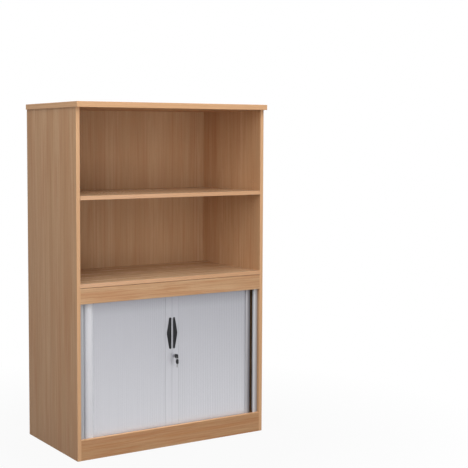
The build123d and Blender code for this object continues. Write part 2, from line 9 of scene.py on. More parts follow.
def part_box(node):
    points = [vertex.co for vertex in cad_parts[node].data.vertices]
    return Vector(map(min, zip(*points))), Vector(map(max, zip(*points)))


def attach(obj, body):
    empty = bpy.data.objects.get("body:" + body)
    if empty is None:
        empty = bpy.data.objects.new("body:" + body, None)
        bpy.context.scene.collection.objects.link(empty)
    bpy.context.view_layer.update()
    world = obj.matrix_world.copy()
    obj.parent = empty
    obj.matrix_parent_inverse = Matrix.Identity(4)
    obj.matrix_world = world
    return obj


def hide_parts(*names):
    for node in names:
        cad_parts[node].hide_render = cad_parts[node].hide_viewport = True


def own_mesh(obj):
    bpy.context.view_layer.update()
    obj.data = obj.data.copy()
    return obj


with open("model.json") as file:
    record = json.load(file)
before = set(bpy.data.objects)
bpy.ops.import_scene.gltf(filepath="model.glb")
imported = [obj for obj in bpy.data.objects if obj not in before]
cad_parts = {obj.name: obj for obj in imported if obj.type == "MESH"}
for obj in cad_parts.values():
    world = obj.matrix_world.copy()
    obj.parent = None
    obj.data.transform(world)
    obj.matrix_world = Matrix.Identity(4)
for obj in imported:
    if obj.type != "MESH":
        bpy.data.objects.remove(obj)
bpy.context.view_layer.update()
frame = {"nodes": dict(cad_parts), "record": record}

# Carcass boards: chipboard faced with beech-print melamine and lipped with beech-look plastic edging,
# joined with glued dowels. The CAD boards are exact, so they stay, and each takes its own length of the
# print: upright on the sides and back, lengthwise on the top, shelves, rail and plinths.
mm = 0.001
edge_streak_width, edge_streak_length = 4, 420
face_turn = 0.7
# Each board's grain, the axis through it, how strong its figure is, how far its bands lean to the deep tone,
# how grey its print is, and its gloss. The lean is partly print and partly painted: the plinth is painted
# darker, as light falls off towards the floor, and the rail paler. The grey on the shelves and back is partly
# print and partly painted light, taking out the warm cast of light bounced inside the cupboard.
board_prints = {
    "top_panel": ("X", "Z", 0.5, 0.0, 0.0, 0.0),
    "left_side": ("Z", "X", 0.5, 0.0, 0.0, 0.0),
    "right_side": ("Z", "X", 0.45, 0.0, 0.1, 0.0),
    "back_panel": ("Z", "Y", 0.5, 0.0, 0.25, 0.0),
    "fixed_shelf": ("X", "Z", 0.4, 0.0, 0.45, 1.0),
    "adjustable_shelf": ("X", "Z", 0.4, 0.0, 0.45, 1.0),
    "fascia_rail": ("X", "Y", 0.85, -0.5, 0.0, 0.0),
    "plinth": ("X", "Y", 1.0, 0.35, 0.0, 0.0),
    "rear_plinth": ("X", "Y", 0.6, 0.0, 0.0, 0.0),
    "base_panel": ("X", "Z", 0.5, 0.0, 0.0, 0.0),
    "left_liner": ("Z", "X", 0.5, 0.0, 0.0, 0.0),
    "right_liner": ("Z", "X", 0.5, 0.0, 0.0, 0.0),
}


def srgb(code):
    """An sRGB hex colour as linear red, green, blue and alpha."""
    parts = [int(code[at:at + 2], 16) / 255 for at in (0, 2, 4)]
    return [p / 12.92 if p <= 0.04045 else ((p + 0.055) / 1.055) ** 2.4 for p in parts] + [1.0]


def add(tree, kind, inputs=None, **settings):
    """Adds a node with its settings, and sets or links its inputs."""
    node = tree.nodes.new(kind)
    for name, value in settings.items():
        setattr(node, name, value)
    for socket, value in (inputs or {}).items():
        sources = value if isinstance(value, list) else [value]
        if isinstance(sources[0], bpy.types.NodeSocket):
            for source in sources:
                tree.links.new(source, node.inputs[socket])
        else:
            node.inputs[socket].default_value = value
    return node


def new_finish(name, sockets):
    """A material with one shader, whose sockets here are the same all over the surface."""
    finish = bpy.data.materials.new(name)
    finish.use_nodes = True
    tree = finish.node_tree
    tree.nodes.clear()
    shader = add(tree, "ShaderNodeBsdfPrincipled", sockets)
    add(tree, "ShaderNodeOutputMaterial", {"Surface": shader.outputs[0]})
    place = add(tree, "ShaderNodeTexCoord").outputs
    return finish, tree, shader, place


def grained(tree, place, size, detail=2.0, shift=0.0, span=(0.35, 0.65), to=(0.0, 1.0), wave=0.0):
    """A noise whose patches have that size in millimetres along X, Y and Z, spread between two values."""
    spot = add(tree, "ShaderNodeMapping", {
        "Vector": place["Object"],
        "Location": (shift, shift * 0.7, shift * 1.3),
        "Scale": [1 / (length * mm) for length in size],
    })
    noise = add(tree, "ShaderNodeTexNoise", {
        "Vector": spot.outputs[0], "Scale": 1.0, "Detail": detail, "Distortion": wave,
    })
    return add(tree, "ShaderNodeMapRange", {
        "Value": noise.outputs[0],
        "From Min": span[0], "From Max": span[1], "To Min": to[0], "To Max": to[1],
    }).outputs[0]


def layered(tree, colour, *layers):
    """A colour with others laid over it, each by its share. Colours are hex values or sockets."""
    for share, over in layers:
        under, over = [srgb(tone) if isinstance(tone, str) else tone for tone in (colour, over)]
        # The colour sockets share their names with those for numbers, so they go by their places
        mix = add(tree, "ShaderNodeMix", {0: share, 6: under, 7: over}, data_type="RGBA")
        colour = mix.outputs[2]
    return colour


def beech(board, seed, grain, through, figure, lean, grey, gloss):
    """Beech-print melamine: broad pale and deep bands, wavy redder figure, fine streaks and flecks along the
    grain, under a satin film, glossier on the shelves. The edging is paler, with streaks along the edge."""
    finish, tree, shader, place = new_finish("beech_melamine_" + board, {
        "IOR": 1.5, "Specular IOR Level": 0.1 + 0.4 * gloss,
    })
    along, deep = "XYZ".index(grain), "XYZ".index(through)

    def print_size(width, length):
        return [length if axis == along else width for axis in range(3)]

    shift = 7.31 * (seed + 1)
    # Each layer's width and length in mm, detail, drift, span of the noise, strength, waviness and colour
    layers = {
        "bands": (75, 1600, 2.0, 0.0, (0.36 - lean / 4, 0.64 - lean / 4), 1.0, 0.0, "C59A72"),
        "red figure": (26, 620, 3.0, 3.1, (0.44, 0.68), 0.8 * figure, 0.5, "C0885C"),
        "wavy figure": (11, 260, 3.0, 5.7, (0.46, 0.66), 0.75 * figure, 0.8, "B77D52"),
        "pale figure": (15, 420, 2.0, 6.9, (0.5, 0.72), 0.5 * figure, 0.6, "DAB58E"),
        "streaks": (4, 340, 4.0, 8.3, (0.42, 0.7), 0.45, 0.0, "B58862"),
        "threads": (6, 700, 3.0, 4.4, (0.55, 0.68), 0.5, 0.3, "B57550"),
        # Beech flecks are about a millimetre wide, and are drawn twice as coarse so that they show
        "flecks": (2, 16, 1.0, 9.9, (0.62, 0.72), 0.3, 0.0, "A67A54"),
    }
    shares = {}
    for layer, (width, length, detail, drift, span, strength, wave, _) in layers.items():
        size = print_size(width, length)
        shares[layer] = grained(tree, place, size, detail, shift + drift, span, (0.0, strength), wave)
    printed = [(shares[layer], values[-1]) for layer, values in layers.items()]
    colour = layered(tree, "D2AB85", *printed, (grey, "CDB595"))
    edge_size = [edge_streak_width if axis == deep else edge_streak_length for axis in range(3)]
    edge_streaks = grained(tree, place, edge_size, 3.0, shift + 1.7, (0.35, 0.7))
    # On the shelves the edging is a painted shade deeper than on the other boards
    edge_pale, edge_deep = ("D7A67B", "CA976C") if gloss else ("E0B288", "D3A379")
    edging = layered(tree, edge_pale, (edge_streaks, edge_deep))
    normal = add(tree, "ShaderNodeSeparateXYZ", {0: place["Normal"]}).outputs[deep]
    flat = add(tree, "ShaderNodeMath", {0: normal}, operation="ABSOLUTE").outputs[0]
    face = add(tree, "ShaderNodeMath", {0: flat, 1: face_turn}, operation="GREATER_THAN").outputs[0]
    tree.links.new(layered(tree, edging, (face, colour)), shader.inputs["Base Color"])
    smooth = (0.36 - 0.16 * gloss, 0.46 - 0.16 * gloss)
    satin = grained(tree, place, print_size(5, 320), 4.0, shift + 8.3, (0.3, 0.7), smooth)
    tree.links.new(satin, shader.inputs["Roughness"])
    pores = add(tree, "ShaderNodeBump", {"Strength": 0.15, "Distance": 0.1 * mm, "Height": shares["streaks"]})
    tree.links.new(pores.outputs[0], shader.inputs["Normal"])
    return finish


def dress(finish, *nodes):
    """Gives CAD nodes that stay in view their material."""
    for node in nodes:
        frame["nodes"][node].data.materials.clear()
        frame["nodes"][node].data.materials.append(finish)


for seed, (board, printed) in enumerate(board_prints.items()):
    dress(beech(board, seed, *printed), board)

# Dowels, shelf pins and screws: fluted beech dowels glued in blind holes, nickelled steel pins pushed into
# the sides, and zinc-plated cross-head screws for the back, trims and tracks. The screws are one tree.
weld = 0.001 * mm
screw_head, screw_shank, head_height = 8 * mm, 4 * mm, 2.5 * mm
crown_share, slot_long, slot_wide = 0.36, 0.5, 0.13
head_sides, shank_sides = 24, 12
# Plating grain is far finer than a millimetre, and is drawn coarser so that it shows
bath_cloud, bath_satin, plating_grain = (6, 6, 6), (3, 3, 3), (0.8, 0.8, 0.8)
record = frame["record"]
body_of = {node: body for body, nodes in record["behaviour"]["bodies"].items() for node in nodes}


def solids(node):
    """The lowest and highest corner of each solid of a CAD node, in order."""
    shape = bmesh.new()
    shape.from_mesh(frame["nodes"][node].data)
    bmesh.ops.remove_doubles(shape, verts=shape.verts, dist=weld)
    left, boxes = set(shape.verts), []
    while left:
        ready, found = [left.pop()], []
        while ready:
            vert = ready.pop()
            found.append(vert.co.copy())
            near = {edge.other_vert(vert) for edge in vert.link_edges} & left
            left -= near
            ready += near
        boxes.append([[pick(spot[axis] for spot in found) for axis in range(3)] for pick in (min, max)])
    shape.free()
    return sorted(boxes)


def place_piece(name, mesh, finish, *nodes):
    """Puts a finished mesh in the scene in place of the CAD nodes that it stands for."""
    mesh.name = name
    if finish:
        mesh.materials.clear()
        mesh.materials.append(finish)
    piece = bpy.data.objects.new(name, mesh)
    bpy.context.collection.objects.link(piece)
    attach(piece, body_of[nodes[0]])
    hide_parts(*nodes)
    return piece


def made_mesh(maker):
    """The plain mesh that an object's modifiers or curve settings give. The maker is removed."""
    bpy.context.view_layer.update()
    mesh = bpy.data.meshes.new_from_object(maker.evaluated_get(bpy.context.evaluated_depsgraph_get()))
    bpy.data.objects.remove(maker)
    return mesh


def grown_mesh(seed_mesh, tree, values):
    """Runs a geometry tree on a mesh, with its inputs set by name through their identifiers."""
    maker = bpy.data.objects.new(tree.name, seed_mesh)
    bpy.context.collection.objects.link(maker)
    growth = maker.modifiers.new(tree.name, "NODES")
    growth.node_group = tree
    for item in tree.interface.items_tree:
        if item.in_out == "INPUT" and item.name in values:
            growth[item.identifier] = values[item.name]
    return made_mesh(maker)


def new_tree(name, sockets):
    """A geometry tree with named inputs. Returns it with its input node's outputs."""
    tree = bpy.data.node_groups.new(name, "GeometryNodeTree")
    for socket, kind in sockets.items():
        tree.interface.new_socket(socket, in_out="INPUT", socket_type="NodeSocket" + kind)
    tree.interface.new_socket("Geometry", in_out="OUTPUT", socket_type="NodeSocketGeometry")
    return tree, add(tree, "NodeGroupInput").outputs


def grow_end(tree, points, shape, plating, **turn):
    """Repeats a shape on points, as real mesh with its material."""
    repeated = add(tree, "GeometryNodeInstanceOnPoints", {"Points": points, "Instance": shape, **turn})
    real = add(tree, "GeometryNodeRealizeInstances", {"Geometry": repeated.outputs[0]})
    plated = add(tree, "GeometryNodeSetMaterial", {"Geometry": real.outputs[0], "Material": plating})
    add(tree, "NodeGroupOutput", {"Geometry": plated.outputs[0]})


screw_tree, screw_in = new_tree("cross_head_screws", {
    "Heads": "Geometry", "Head": "Float", "Head Height": "Float", "Shank": "Float", "Length": "Float",
    "Plating": "Material",
})
screw_shares = {
    "half head": ("Head", 0.5), "crown": ("Head", crown_share), "slot long": ("Head", slot_long),
    "slot wide": ("Head", slot_wide), "half shank": ("Shank", 0.5), "half length": ("Length", 0.5),
    "sunk": ("Head Height", -1.0),
}
screw_part = {
    part: add(screw_tree, "ShaderNodeMath", {0: screw_in[size], 1: share}, operation="MULTIPLY").outputs[0]
    for part, (size, share) in screw_shares.items()
}
seat = add(screw_tree, "ShaderNodeCombineXYZ", {"Z": screw_part["sunk"]}).outputs[0]
head = add(screw_tree, "GeometryNodeMeshCone", {
    "Vertices": head_sides, "Radius Top": screw_part["crown"], "Radius Bottom": screw_part["half head"],
    "Depth": screw_in["Head Height"],
})
head = add(screw_tree, "GeometryNodeTransform", {"Geometry": head.outputs[0], "Translation": seat}).outputs[0]
slot_size = add(screw_tree, "ShaderNodeCombineXYZ", {
    "X": screw_part["slot long"], "Y": screw_part["slot wide"], "Z": screw_in["Head Height"],
})
slot = add(screw_tree, "GeometryNodeMeshCube", {"Size": slot_size.outputs[0]})
slots = []
for angle in (0.0, math.pi / 2):
    slots.append(add(screw_tree, "GeometryNodeTransform", {
        "Geometry": slot.outputs[0], "Rotation": (0.0, 0.0, angle),
    }).outputs[0])
cut = add(screw_tree, "GeometryNodeMeshBoolean", {"Mesh 1": head, "Mesh 2": slots}, solver="EXACT").outputs[0]
shank_middle = add(screw_tree, "ShaderNodeMath", {
    0: screw_part["sunk"], 1: screw_part["half length"],
}, operation="SUBTRACT").outputs[0]
shank_at = add(screw_tree, "ShaderNodeCombineXYZ", {"Z": shank_middle}).outputs[0]
shank = add(screw_tree, "GeometryNodeMeshCylinder", {
    "Vertices": shank_sides, "Radius": screw_part["half shank"], "Depth": screw_in["Length"],
})
shank = add(screw_tree, "GeometryNodeTransform", {"Geometry": shank.outputs[0], "Translation": shank_at})
screw = add(screw_tree, "GeometryNodeJoinGeometry", {"Geometry": [cut, shank.outputs[0]]}).outputs[0]
outward = add(screw_tree, "GeometryNodeInputNamedAttribute", {"Name": "outward"}, data_type="FLOAT_VECTOR")
upright = add(screw_tree, "FunctionNodeAlignRotationToVector", {"Vector": outward.outputs[0]}, axis="Z")
grow_end(screw_tree, screw_in["Heads"], screw, screw_in["Plating"], Rotation=upright.outputs[0])


def plated_steel(name, pale, dark, roughness, bump):
    """Plated steel: a bright grey metal, a little cloudy from the bath, with a faint grain."""
    finish, tree, shader, place = new_finish(name, {"Metallic": 1.0})
    cloud = grained(tree, place, bath_cloud, 3.0)
    tree.links.new(layered(tree, pale, (cloud, dark)), shader.inputs["Base Color"])
    tree.links.new(grained(tree, place, bath_satin, 2.0, 4.4, to=roughness), shader.inputs["Roughness"])
    grain = grained(tree, place, plating_grain, 2.0, 2.2)
    plating = add(tree, "ShaderNodeBump", {"Strength": bump, "Distance": 0.05 * mm, "Height": grain})
    tree.links.new(plating.outputs[0], shader.inputs["Normal"])
    return finish


zinc = plated_steel("zinc_plated_steel", "C4C6C8", "AEB1B4", (0.3, 0.42), 0.1)
nickel = plated_steel("nickel_plated_steel", "A9A8A6", "9A9997", (0.3, 0.42), 0.04)


def drive_screws(name, node, axis, inward=None, height=head_height):
    """Screws where the CAD has them. Heads face up an axis, or towards a middle on it."""
    spots, sides, longest = [], [], 0.0
    for low, high in solids(node):
        centre = [(a + b) / 2 for a, b in zip(low, high)]
        side = 1 if inward is None or centre[axis] < inward else -1
        centre[axis] = high[axis] if side > 0 else low[axis]
        spots.append(centre)
        sides.append([side if at == axis else 0.0 for at in range(3)])
        longest = high[axis] - low[axis]
    heads = bpy.data.meshes.new(name + "_heads")
    heads.from_pydata(spots, [], [])
    heads.attributes.new("outward", "FLOAT_VECTOR", "POINT").data.foreach_set("vector", sum(sides, []))
    place_piece(name, grown_mesh(heads, screw_tree, {
        "Head": screw_head, "Head Height": height, "Shank": screw_shank, "Length": longest - height,
        "Plating": zinc,
    }), None, node)


drive_screws("back_panel_screws", "back_screws", 1)
dowel_wood, tree, shader, place = new_finish("raw_beech_dowel", {"Roughness": 0.7})
flute_size = (2, 2, 30)
flutes = grained(tree, place, flute_size, 3.0)
tree.links.new(layered(tree, "D8B48A", (flutes, "B98F63")), shader.inputs["Base Color"])
dress(dowel_wood, "panel_dowels")
dress(nickel, "shelf_pins")

# Corner posts: silver plastic extrusions that round the front corners of the cupboard and hide the bend of
# each slatted door. One strip: a lip over the door's edge, a quarter round, and a short leg to the side.
post_wall = 2 * mm
post_lip, post_leg = 7 * mm, 14 * mm
bend_steps, end_steps = 20, 6
crease_angle = 40
# Pearl pigment is far finer than a millimetre, and is drawn coarser so that it shows
die_line, pearl_grain = (1.6, 1.6, 420), (0.9, 0.9, 2.5)
hands = {"left": -1, "right": 1}


def strip_outline(path, wall):
    """The outline round an open path with a wall of that thickness and rounded ends."""
    half, count = wall / 2, len(path)
    normals = []
    for at in range(count):
        run = (path[min(at + 1, count - 1)] - path[max(at - 1, 0)]).normalized()
        normals.append(Vector((-run.y, run.x)))
    left = [spot + normal * half for spot, normal in zip(path, normals)]
    right = [spot - normal * half for spot, normal in zip(path, normals)]

    def rounded_end(spot, normal):
        turns = [math.pi * step / end_steps for step in range(1, end_steps)]
        return [spot + normal * half * math.cos(a) + Vector((normal.y, -normal.x)) * half * math.sin(a)
                for a in turns]

    return left + rounded_end(path[-1], normals[-1]) + right[::-1] + rounded_end(path[0], -normals[0])


def arc(centre, radius, start, end, steps):
    """Points round part of a circle, from one angle in degrees to another."""
    angles = [math.radians(start + (end - start) * step / steps) for step in range(steps + 1)]
    return [Vector((centre[0] + radius * math.cos(a), centre[1] + radius * math.sin(a))) for a in angles]


def extruded(outline, bottom, top):
    """A closed outline drawn up from one height to another, smooth where it curves."""
    shape = bmesh.new()
    rings = [[shape.verts.new((spot[0], spot[1], z)) for spot in outline] for z in (bottom, top)]
    for at in range(len(outline)):
        after = (at + 1) % len(outline)
        shape.faces.new((rings[0][at], rings[0][after], rings[1][after], rings[1][at]))
    for ring in rings:
        shape.faces.new(ring)
    return smooth_mesh(shape)


def smooth_mesh(shape, crease=crease_angle):
    """A plain mesh with its faces outwards, smooth but for edges sharper than an angle."""
    bmesh.ops.recalc_face_normals(shape, faces=shape.faces)
    mesh = bpy.data.meshes.new("made")
    shape.to_mesh(mesh)
    shape.free()
    mesh.shade_smooth()
    mesh.set_sharp_from_angle(angle=math.radians(crease))
    return mesh


def silver_plastic(name, pale, dark, metal, roughness, *painted_shades):
    """Silver-pigmented plastic: a soft pearly grey with faint drawn lines from the die. It may take painted
    shade along an axis, each painted shade deepening between two places."""
    finish, tree, shader, place = new_finish(name, {
        "Metallic": metal, "IOR": 1.46, "Specular IOR Level": 0.2,
    })
    lines = grained(tree, place, die_line, 3.0)
    spot = add(tree, "ShaderNodeSeparateXYZ", {0: place["Object"]}).outputs
    painted_shading = []
    for shade, axis, start, end in painted_shades:
        share = add(tree, "ShaderNodeMapRange", {"Value": spot[axis], "From Min": start, "From Max": end})
        painted_shading.append((share.outputs[0], shade))
    tree.links.new(layered(tree, pale, (lines, dark), *painted_shading), shader.inputs["Base Color"])
    pearl = grained(tree, place, pearl_grain, 2.0, 6.1, to=roughness)
    tree.links.new(pearl, shader.inputs["Roughness"])
    drawn = add(tree, "ShaderNodeBump", {"Strength": 0.12, "Distance": 0.05 * mm, "Height": lines})
    tree.links.new(drawn.outputs[0], shader.inputs["Normal"])
    return finish


# One plastic in a painted lit copy and a painted shaded copy: the left post is painted lighter, the right one
# darker, with painted shade deepening where its curve turns towards the side.
post_silver_painted_light_and_shade = {
    "left": silver_plastic("silver_post_plastic", "E3E3E8", "DBDBE0", 0.0, (0.45, 0.55)),
    "right": silver_plastic("silver_post_plastic_right_painted_shade", "CFCDD1", "C7C5C9", 0.0, (0.45, 0.55),
                            ("7F7E82", "X", 0.419, 0.44)),
}
for side, hand in hands.items():
    post_node = side + "_corner_post"
    low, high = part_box(post_node)
    outer = high.x if hand > 0 else -low.x
    lip_end = -high.x if hand < 0 else low.x
    half_wall = post_wall / 2
    bend_x, bend_y = lip_end + post_lip, high.y - post_leg
    path = [Vector((lip_end + half_wall, low.y + half_wall))]
    path += arc((bend_x, bend_y), outer - bend_x - half_wall, -90, 0, bend_steps)
    path += [Vector((outer - half_wall, high.y - half_wall))]
    outline = [Vector((hand * spot.x, spot.y)) for spot in strip_outline(path, post_wall)]
    place_piece(side + "_post", extruded(outline, low.z, high.z), post_silver_painted_light_and_shade[side], post_node)

# Edge trims: silver plastic channels on the inner faces of the sides, which close the gap beside each post.
# Each is a face with a return at its free edge and a long flange, held by three screws through the flange.
trim_wall = 2 * mm
trim_return, trim_corner = 12.5 * mm, 1.4 * mm
# One plastic in painted copies: the right trim is painted paler than the left one, with painted shade
# deepening towards the side panel.
trim_silver_painted_light_and_shade = {
    "left": silver_plastic("silver_trim_plastic", "C1C3C8", "B7B9BE", 0.0, (0.42, 0.52)),
    "right": silver_plastic("silver_trim_plastic_right_painted_light_and_shade", "DBDDE2", "D3D5DA", 0.0, (0.42, 0.52),
                            ("A29C9B", "X", 0.466, 0.482)),
}
for side, hand in hands.items():
    trim_node = side + "_edge_trim"
    low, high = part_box(trim_node)
    inner, outer = (low.x, high.x) if hand > 0 else (-high.x, -low.x)
    half_wall = trim_wall / 2
    left_x, right_x, face_y = inner + half_wall, outer - half_wall, low.y + half_wall
    path = [Vector((left_x, low.y + trim_return - half_wall))]
    path += arc((left_x + trim_corner, face_y + trim_corner), trim_corner, 180, 270, end_steps)
    path += arc((right_x - trim_corner, face_y + trim_corner), trim_corner, 270, 360, end_steps)
    path += [Vector((right_x, high.y - half_wall))]
    outline = [Vector((hand * spot.x, spot.y)) for spot in strip_outline(path, trim_wall)]
    place_piece(side + "_trim", extruded(outline, low.z, high.z), trim_silver_painted_light_and_shade[side], trim_node)
drive_screws("edge_trim_screws", "trim_screws", 0, inward=0.0)

# Tracks: grey plastic channels that the doors run in, straight across the front and bent back along the
# sides, top and bottom. The CAD shapes are right, so they take a waxy moulded plastic.
worn_patch, moulded_grain = (40, 40, 40), (2, 2, 2)
cupboard_middle = 0.5
track_grey, tree, shader, place = new_finish("grey_track_plastic", {"IOR": 1.46})
worn = grained(tree, place, worn_patch, 3.0)
tree.links.new(layered(tree, "9B9CA0", (worn, "8B8C90")), shader.inputs["Base Color"])
tree.links.new(grained(tree, place, moulded_grain, 2.0, to=(0.45, 0.58)), shader.inputs["Roughness"])
dress(track_grey, "bottom_front_track", "top_front_track", "bottom_side_tracks", "top_side_tracks")
drive_screws("track_fixing_screws", "track_screws", 2, inward=cupboard_middle)

# Slatted doors: upright silver plastic slats, tongued into each other so that the door bends, with a
# groove between each pair. One tree draws the front run.
slat_pitch_about = 10 * mm
slat_gap, slat_taper, slat_nose, nose_steps = 0.4 * mm, 1.2 * mm, 0.25 * mm, 3
stile_slits = {"left": 0.75 * mm, "right": 0.45 * mm}
tongue_depth, tongue_thick, tongue_overlap = 0.5 * mm, 1.2 * mm, 0.1 * mm
slat_tree, slat_in = new_tree("door_slats", {
    "Section": "Geometry", "Slats": "Int", "Pitch": "Float", "Length": "Float", "First": "Vector",
    "Plastic": "Material",
})
drawn = add(slat_tree, "GeometryNodeExtrudeMesh", {
    "Mesh": slat_in["Section"], "Offset": (0.0, 0.0, 1.0), "Offset Scale": slat_in["Length"],
    "Individual": False,
}).outputs[0]
foot = add(slat_tree, "GeometryNodeFlipFaces", {"Mesh": slat_in["Section"]}).outputs[0]
slat = add(slat_tree, "GeometryNodeJoinGeometry", {"Geometry": [drawn, foot]}).outputs[0]
slat = add(slat_tree, "GeometryNodeMergeByDistance", {"Geometry": slat, "Distance": weld}).outputs[0]
step = add(slat_tree, "ShaderNodeCombineXYZ", {"X": slat_in["Pitch"]}).outputs[0]
row = add(slat_tree, "GeometryNodeMeshLine", {
    "Count": slat_in["Slats"], "Start Location": slat_in["First"], "Offset": step,
}).outputs[0]
grow_end(slat_tree, row, slat, slat_in["Plastic"])


def slat_section(width, depth, tongued):
    """One slat from above, its face at the front: eased front edges, tapered sides, a tongue on the right."""
    half = width / 2

    def side_at(back):
        return half - slat_taper * back / depth

    front = arc((half - slat_nose, slat_nose), slat_nose, -90, 0, nose_steps)
    line = [Vector((-spot.x, spot.y)) for spot in front[::-1]] + front
    if tongued:
        reach = half + slat_gap + tongue_overlap + half - side_at(tongue_depth)
        tongue_back = tongue_depth + tongue_thick
        line += [Vector((side_at(tongue_depth), tongue_depth)), Vector((reach, tongue_depth)),
                 Vector((reach, tongue_back)), Vector((side_at(tongue_back), tongue_back))]
    line += [Vector((side_at(depth), depth)), Vector((-side_at(depth), depth))]
    mesh = bpy.data.meshes.new("slat_section")
    mesh.from_pydata([(spot.x, spot.y, 0.0) for spot in line], [], [tuple(range(len(line)))])
    return mesh


# Painted shade: the slats and stiles are painted darker towards the top, with a painted shadow just under the
# rail.
slat_silver_painted_shade = silver_plastic("silver_slat_plastic_painted_shade", "D4D4D9", "CDCDD2", 0.6, (0.38, 0.5),
                             ("A3A3A9", "Z", 0.09, 0.74), ("98989E", "Z", 0.64, 0.71))
for side, hand in hands.items():
    low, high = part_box(side + "_curtain")
    start = low.x + stile_slits[side] if hand > 0 else low.x
    run_width = high.x - low.x - stile_slits[side]
    count = round(run_width / slat_pitch_about)
    pitch = (run_width + slat_gap) / count
    face = pitch - slat_gap
    runs = []
    for tongued, many, first in ((True, count - 1, 0), (False, 1, count - 1)):
        runs.append(grown_mesh(slat_section(face, high.y - low.y, tongued), slat_tree, {
            "Slats": many, "Pitch": pitch, "Length": high.z - low.z, "Plastic": slat_silver_painted_shade,
            "First": (start + face / 2 + first * pitch, low.y, low.z),
        }))
    shape = bmesh.new()
    for run in runs:
        shape.from_mesh(run)
    mesh = runs[0]
    shape.to_mesh(mesh)
    shape.free()
    mesh.shade_smooth()
    mesh.set_sharp_from_angle(angle=math.radians(crease_angle))
    curtain = place_piece(side + "_slats", mesh, None, side + "_curtain")
    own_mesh(curtain)
    dress(slat_silver_painted_shade, side + "_bend_slats", side + "_tail_slats")

# Leading stiles: flat silver plastic extrusions along the meeting edges of the doors, which carry the
# handles and the lock. Copies of the CAD stiles with eased edges, and on the left one a lip that closes
# the meeting line from behind.
stile_ease, meeting_ease = 0.5 * mm, 0.25 * mm
rim_edge = 3 * mm
lip_reach, lip_back, lip_thick = 0.9 * mm, 1.0 * mm, 1.5 * mm
flat_angle, face_weight, stile_segments = 1, 100, 3


def eased(node, width, segments=2, less=None, shortest=rim_edge):
    """A copy of a CAD node's mesh with its sharp edges eased, but for short ones, such as those of a hole's
    rim. Edges that a test picks are eased less."""
    shape = bmesh.new()
    shape.from_mesh(frame["nodes"][node].data)
    bmesh.ops.remove_doubles(shape, verts=shape.verts, dist=weld)
    flat, sharp = math.radians(flat_angle), math.radians(crease_angle)
    bmesh.ops.dissolve_limit(shape, angle_limit=flat, verts=shape.verts, edges=shape.edges)
    weights = shape.edges.layers.float.new("bevel_weight_edge")
    for edge in shape.edges:
        if edge.is_manifold and edge.calc_face_angle() > sharp and edge.calc_length() > shortest:
            picked = less and all(less[0](vert.co) for vert in edge.verts)
            edge[weights] = less[1] / width if picked else 1.0
    mesh = bpy.data.meshes.new(node)
    shape.to_mesh(mesh)
    shape.free()
    mesh.shade_smooth()
    maker = bpy.data.objects.new("eased", mesh)
    bpy.context.collection.objects.link(maker)
    ease = maker.modifiers.new("ease", "BEVEL")
    ease.width, ease.segments, ease.limit_method = width, segments, "WEIGHT"
    ease.use_clamp_overlap = not shortest
    even = maker.modifiers.new("even", "WEIGHTED_NORMAL")
    even.weight, even.keep_sharp = face_weight, True
    return made_mesh(maker)


for side in ("left", "right"):
    node = side + "_stile"
    low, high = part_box(node)
    meeting = max(low.x, -high.x) + meeting_ease
    mesh = eased(node, stile_ease, stile_segments, (lambda spot: abs(spot.x) < meeting, meeting_ease))
    if side == "left":
        shape = bmesh.new()
        shape.from_mesh(mesh)
        lip = bmesh.ops.create_cube(shape, size=1.0)["verts"]
        for vert in lip:
            spread = (lip_reach, lip_thick, (high.z - low.z) / 2)
            middle = (high.x, low.y + lip_back + lip_thick, (low.z + high.z) / 2)
            vert.co = [at + 2 * part * size for at, part, size in zip(middle, vert.co, spread)]
        shape.to_mesh(mesh)
        shape.free()
    place_piece(side + "_leading_stile", mesh, slat_silver_painted_shade, node)

# Handles: moulded black ABS wedges, widest and deepest in the middle, with a ridge down the face and a
# finger edge at the meeting line. Each is screwed from behind the stile with two screws.
end_width, end_proud, finger_edge = 9 * mm, 6.5 * mm, 5 * mm
ridge_share, low_share, finger_share, end_fall = 0.55, 0.2, 0.8, 0.55
end_round, peak_round = 4 * mm, 5 * mm
end_shares = (0.0, 0.06, 0.2, 0.42, 0.7, 1.0)
run_shares = (0.85, 0.7, 0.55, 0.4, 0.28, 0.18, 0.1, 0.04)
corner_cut, corner_cuts, handle_crease = 0.17, 2, 32
# Spark-eroded texture is about a tenth of a millimetre across, and is drawn coarser so that it shows
mould_patch, satin_patch, spark_grain = (12, 12, 12), (5, 5, 5), (0.7, 0.7, 0.7)
facet_turn = 0.3


def black_plastic(name, pale, dark, deep):
    """Black moulded plastic: satin, with a fine spark-eroded texture that softens its gloss. Facets that turn
    to the right take painted shade, so that ridges show."""
    finish, tree, shader, place = new_finish(name, {"IOR": 1.52, "Specular IOR Level": 0.1})
    mould = grained(tree, place, mould_patch, 2.0)
    # Painted shade: facets that turn to the right are mixed towards the deep colour
    turn = add(tree, "ShaderNodeSeparateXYZ", {0: place["Normal"]}).outputs["X"]
    right = add(tree, "ShaderNodeMapRange", {
        "Value": turn, "From Min": -facet_turn, "From Max": facet_turn,
    }).outputs[0]
    tree.links.new(layered(tree, pale, (mould, dark), (right, deep)), shader.inputs["Base Color"])
    tree.links.new(grained(tree, place, satin_patch, 2.0, 1.1, to=(0.4, 0.5)), shader.inputs["Roughness"])
    spark = grained(tree, place, spark_grain, 2.0, 3.3)
    texture = add(tree, "ShaderNodeBump", {"Strength": 0.2, "Distance": 0.05 * mm, "Height": spark})
    tree.links.new(texture.outputs[0], shader.inputs["Normal"])
    return finish


black_abs = black_plastic("black_abs_moulding", "29292B", "2E2E30", "040405")


